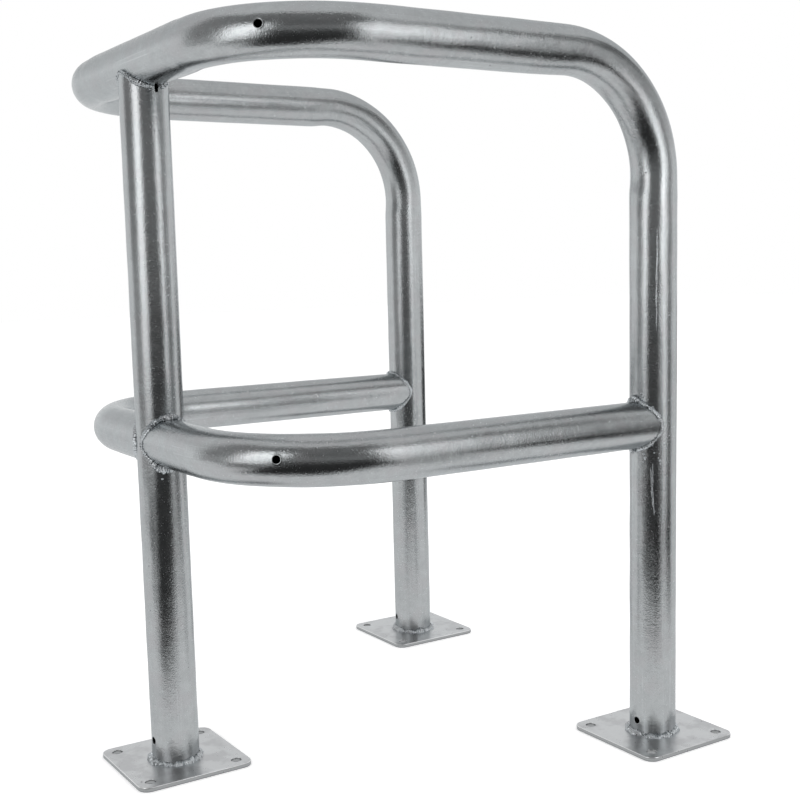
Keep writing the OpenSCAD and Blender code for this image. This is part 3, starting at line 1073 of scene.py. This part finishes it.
# The pale floor that the metal mirrors ends in front of the object, behind it and to its right. Past
# these edges the metal mirrors a dark room. Each edge: way, distance from the middle, fade
FRONT_EDGE, FRONT_EDGE_LEFT = (direction(-49), 0.63, 0.1), (direction(41), -0.45, 0.09)
REAR_EDGE, REAR_EDGE_RIGHT = (direction(75), 0.95, 0.12), (direction(41), 0.85, 0.1)
RIGHT_EDGE = (direction(41), 1.3, 0.14)
PALE_LEVEL, DARK_LEVEL = 0.93, 0.04


def make_floor():
    """Plain pale floor, which keeps the object's shadow."""
    n = Nodes(bpy.data.materials.new("floor_white"))
    camera_ray, mirrored = n.rays()
    diffuse = n.new("BsdfDiffuse", {"Color": FLOOR_COLOUR}).outputs[0]
    lifted = n.new("AddShader", {0: diffuse, 1: n.glow(FLOOR_LIFT)}).outputs[0]
    shown = n.blend(camera_ray, diffuse, lifted)
    place, _ = position(n)
    in_front = n.times(past(n, place, *FRONT_EDGE), past(n, place, *FRONT_EDGE_LEFT))
    behind = n.times(past(n, place, *REAR_EDGE), past(n, place, *REAR_EDGE_RIGHT))
    dark = n.math("MAXIMUM", n.math("MAXIMUM", in_front, behind), past(n, place, *RIGHT_EDGE))
    glow = n.glow(n.line(dark, 0, 1, PALE_LEVEL, DARK_LEVEL))
    far = FLOOR_SIZE
    add_quads("studio_floor", [((-far, -far, 0), (far, -far, 0), (far, far, 0), (-far, far, 0))],
              n.ended(n.blend(mirrored, shown, glow)))


def mirrored_only(obj):
    """The object shows in reflections alone: it isn't seen and throws no shadow."""
    obj.visible_camera = obj.visible_diffuse = obj.visible_shadow = False
    obj.visible_transmission = obj.visible_volume_scatter = False


def ramp(n, value, stops):
    """Level that runs through (value, level) stops."""
    low, high = stops[0][0], stops[-1][0]
    top = max(level for _, level in stops)
    node = n.new("ValToRGB", {0: n.line(value, low, high)})
    points = node.color_ramp.elements
    while len(points) < len(stops):
        points.new(0.5)
    for point, (at, level) in zip(points, stops):
        point.position = (at - low) / (high - low)
        point.color = (level / top, level / top, level / top, 1)
    return n.times(node.outputs[0], top)


def glow_through(n, mask, level):
    """Emission where the mask is 1, clear where it is 0."""
    return n.ended(n.blend(mask, n.new("BsdfTransparent").outputs[0], n.glow(level)))


# The dim room round the camera, which the metal mirrors as dark bands.
# Each wall: first and last azimuth in degrees, then its levels, each (height, level)
ROOM_R = 2.4
ROOM_WALLS = {
    "room_left": (-121, -82, ((0, 0.1), (0.35, 0.5), (0.6, 0.45), (0.87, 0.28), (1.4, 0.32), (3.2, 0.3),
                              (4.0, 0.15))),
    "room_behind": (-82, 21, ((0, 0.05), (0.35, 0.08), (0.87, 0.3), (1.4, 0.15), (3.2, 0.25), (4.6, 0.1))),
    "room_right": (21, 76, ((0, 0.5), (0.35, 0.25), (0.87, 0.4), (1.4, 0.3), (3.2, 0.8), (4.6, 0.7))),
}
# Past an azimuth, the right wall has a dark beam and other levels
BEAM_FROM, BEAM_FADE = 38, 0.12
BEAM_LEVELS = ((0, 0.15), (0.35, 0.22), (0.65, 0.38), (1.0, 0.46), (1.5, 0.55), (1.85, 0.18), (2.25, 0.18),
               (2.8, 0.8), (4.6, 0.75))
# Fade of a wall's ends in degrees, fade of the top of walls and panels, their height over the floor
WALL_FADE, TOP_FADE = 5.0, 0.1
WALL_LIFT, PANEL_LIFT = 0.005, 0.01
WALL_POINTS = 30


def make_room():
    """Upright parts of a cylinder round the object, with soft ends."""
    for name, (first, last, levels) in ROOM_WALLS.items():
        top = levels[-1][0]
        angles = np.radians(np.linspace(first - WALL_FADE, last + WALL_FADE, WALL_POINTS))
        low = np.stack([ROOM_R * np.cos(angles), ROOM_R * np.sin(angles), WALL_LIFT + 0 * angles], -1)
        high = low + (top + TOP_FADE) * Z
        quads = [(low[i], low[i + 1], high[i + 1], high[i]) for i in range(WALL_POINTS - 1)]
        n = Nodes(bpy.data.materials.new(name))
        place, height = position(n)
        middle, half = (first + last) / 2, (last - first) / 2
        across = along(n, place, ORIGIN, direction(middle) / ROOM_R)
        ends = [math.cos(math.radians(half + side * WALL_FADE)) for side in (1, -1)]
        mask = n.times(n.span(across, *ends), n.span(height, top + TOP_FADE, top - TOP_FADE))
        level = ramp(n, height, levels)
        if name == "room_right":
            beam = n.math("SUBTRACT", ramp(n, height, BEAM_LEVELS), level)
            beam = n.times(beam, past(n, place, direction(BEAM_FROM + 90), 0, BEAM_FADE))
            level = n.math("ADD", level, beam)
        mirrored_only(add_quads(name, quads, glow_through(n, mask, level)))


# Light panels that stand upright and lean along their own plane, seen in reflections alone.
# Each panel: two ends of its foot, lean, top, levels at the panel heights
PANEL_HEIGHTS = (0.15, 0.45, 0.85, 1.3)
PANEL_MIDDLE = 0.6
PANEL_FADE = 0.06
PANELS = {
    "panel_left": ((0.1, -1.22), (0.75, -1.22), 0.35, 1.3, (0.1, 1.3, 2.0, 1.6)),
    "panel_right": ((0.98, 0.16), (1.31, 0.36), 0.6, 1.1, (0.0, 0.4, 3.6, 3.6)),
    "panel_near": ((1.32, 0.12), (0.89, 0.20), -0.57, 1.3, (0.5, 1.2, 1.4, 1.6)),
    "panel_far": ((1.95, 0.40), (1.75, 0.99), 0.19, 1.8, (1.3, 1.3, 1.5, 1.5)),
    "panel_back": ((-0.04, 1.08), (0.55, 0.61), 0.0, 0.86, (0.9, 0.9, 1.0, 1.0)),
}


def make_panels():
    """One leaning quad for each panel, with soft edges."""
    for name, (start, end, lean, top, levels) in PANELS.items():
        foot = np.array([*start, 0.0])
        across = np.array([*end, 0.0]) - foot
        width = np.linalg.norm(across)
        across = across / width
        n = Nodes(bpy.data.materials.new(name))
        place, height = position(n)
        leaned = n.times(n.math("SUBTRACT", height, PANEL_MIDDLE), lean)
        at = n.math("SUBTRACT", along(n, place, foot, across), leaned)
        mask = n.times(n.span(at, -PANEL_FADE, PANEL_FADE),
                       n.span(at, width + PANEL_FADE, width - PANEL_FADE))
        mask = n.times(mask, n.span(height, top + TOP_FADE, top - TOP_FADE))
        corners = []
        for z, side in ((PANEL_LIFT, 0), (PANEL_LIFT, 1), (top + TOP_FADE, 1), (top + TOP_FADE, 0)):
            out = lean * (z - PANEL_MIDDLE) + (width + PANEL_FADE if side else -PANEL_FADE)
            corners.append(foot + across * out + z * Z)
        level = ramp(n, height, list(zip(PANEL_HEIGHTS, levels)))
        mirrored_only(add_quads(name, [corners], glow_through(n, mask, level)))


LAMPS = {"lamp_left": (1.2, -2.4, 2.6), "lamp_right": (2.4, 1.6, 2.6), "lamp_back": (-2.2, 1.2, 2.8)}
LAMP_TARGET, LAMP_SIZE, LAMP_POWER = (0, 0, 0.3), 1.6, 14


def softbox(name, location):
    """Square studio lamp."""
    lamp = bpy.data.lights.new(name, "AREA")
    lamp.size = LAMP_SIZE
    lamp.energy = LAMP_POWER
    obj = linked(name, lamp)
    obj.location = location
    obj.rotation_euler = (Vector(LAMP_TARGET) - Vector(location)).to_track_quat("-Z", "Y").to_euler()
    obj.visible_camera = obj.visible_glossy = False


LIT_BY_WORLD = 0.85
# The metal mirrors a white backdrop that dims towards the ceiling, between two heights of a unit vector
CEILING_LEVEL = 0.76
BACKDROP_TOP, CEILING_EDGE = 0.08, 0.4


def make_world():
    """White surroundings for what is seen and mirrored, a plainer level for the light on the object."""
    n = Nodes(bpy.data.worlds.new("studio"))
    bpy.context.scene.world = n.owner
    camera_ray, mirrored = n.rays()
    rise = n.up(n.new("TexCoord").outputs["Generated"])
    backdrop = n.span(rise, BACKDROP_TOP, CEILING_EDGE, 1.0, CEILING_LEVEL)
    strength = n.line(mirrored, 0, 1, n.line(camera_ray, 0, 1, LIT_BY_WORLD, 1.0), backdrop)
    n.ended(n.new("Background", {"Color": WHITE, "Strength": strength}).outputs[0], "OutputWorld")


def make_studio():
    """Surroundings, floor, mirrored room and panels, and lamps."""
    make_world()
    make_floor()
    make_room()
    make_panels()
    for name, place in LAMPS.items():
        softbox(name, place)


# The photograph's camera: place, turn in radians, focal length and middle in pixels of an image
CAMERA_PLACE = (1.4509, -0.8497, 0.6287)
YAW, PITCH, ROLL = 2.571, -0.126, -0.024
FOCAL_PX, CENTRE_X, CENTRE_Y, IMAGE_PX = 1241.757, 403.222, 419.182, 800
SENSOR_MM = 36


def make_camera():
    """Camera at the photograph's place, with its focal length and angle."""
    ahead = Vector((math.cos(PITCH) * math.cos(YAW), math.cos(PITCH) * math.sin(YAW), math.sin(PITCH)))
    level_right = Vector((math.sin(YAW), -math.cos(YAW), 0))
    level_up = level_right.cross(ahead)
    right = level_right * math.cos(ROLL) + level_up * math.sin(ROLL)
    up = level_up * math.cos(ROLL) - level_right * math.sin(ROLL)
    data = bpy.data.cameras.new("camera")
    data.sensor_width = SENSOR_MM
    data.lens = FOCAL_PX / IMAGE_PX * SENSOR_MM
    data.shift_x = (IMAGE_PX / 2 - CENTRE_X) / IMAGE_PX
    data.shift_y = (CENTRE_Y - IMAGE_PX / 2) / IMAGE_PX
    data.clip_start = 0.01
    camera = linked("camera", data)
    turn = Matrix((right, up, -ahead)).transposed()
    camera.matrix_world = Matrix.Translation(Vector(CAMERA_PLACE)) @ turn.to_4x4()
    bpy.context.scene.camera = camera


# The object

# Nodules on each plate in mm: place from its middle, height and size
PLATE_NODULES = {
    "right": ((-74.2, 7, 5.4, 1.5), (52, -74, 2.2, 1.2), (74, 31, 3.6, 1.0), (20, 71, 6, 1.1)),
    "left": ((-30, -74, 2.4, 1.2), (74, -12, 3.5, 1.1)),
    "front": ((50, -66, 5.9, 1.6), (10, -73.2, 1.8, 1.5), (74.2, 40, 2.4, 1.3), (-70, 62, 5.8, 1.4)),
}
# Pits in each base weld in degrees: azimuth and size, and depth
BASE_PITS = {
    "right": ((-68, 4, 0.9), (-20, 6, 0.4), (10, 5, 0.5)),
    "left": ((-60, 6, 0.6), (20, 8, 0.5)),
    "front": ((-28, 5, 0.8), (26, 4, 0.7), (-60, 6, 0.5)),
}
# The same for two joints by the turn round the rail's end: a negative depth makes the bead fatter
RIGHT_PITS = ((90, 14, -0.7), (270, 12, -0.5))
FRONT_PITS = ((105, 40, -0.9), (245, 26, -1.1))
# Half the gap that the vent slot leaves in the top weld, in degrees
TOP_GAP = 6

make_hoop()
make_front_leg()
make_lower_rail(1, "right", 13)
make_lower_rail(-1, "left", 14)
for number, leg in enumerate(LEGS):
    make_plate(leg, 20 + number, PLATE_NODULES[leg])
    make_base_weld(leg, 30 + number, BASE_PITS[leg])
make_saddle_weld("top_front", "top_weld_front", (0, FRONT_Y, TOP_Z), X, -Z, 41,
                 gap=(90 - HEAD_SLOT_TURN, TOP_GAP), nodules=52)
make_saddle_weld("rear_right", "rear_weld_right", (REAR_X, REAR_Y, RAIL_Z), Z, -Y, 42, RIGHT_PITS,
                 extras=right_leg_extras)
make_saddle_weld("rear_left", "rear_weld_left", (-REAR_X, REAR_Y, RAIL_Z), Z, -Y, 43)
make_saddle_weld("front_right", "front_weld_right", (0, FRONT_Y, RAIL_Z), Z, X, 44, FRONT_PITS, nodules=60,
                 extras=front_leg_extras)
make_saddle_weld("front_left", "front_weld_left", (0, FRONT_Y, RAIL_Z), Z, -X, 45)

make_studio()
make_camera()
bpy.context.scene.view_settings.view_transform = "Standard"
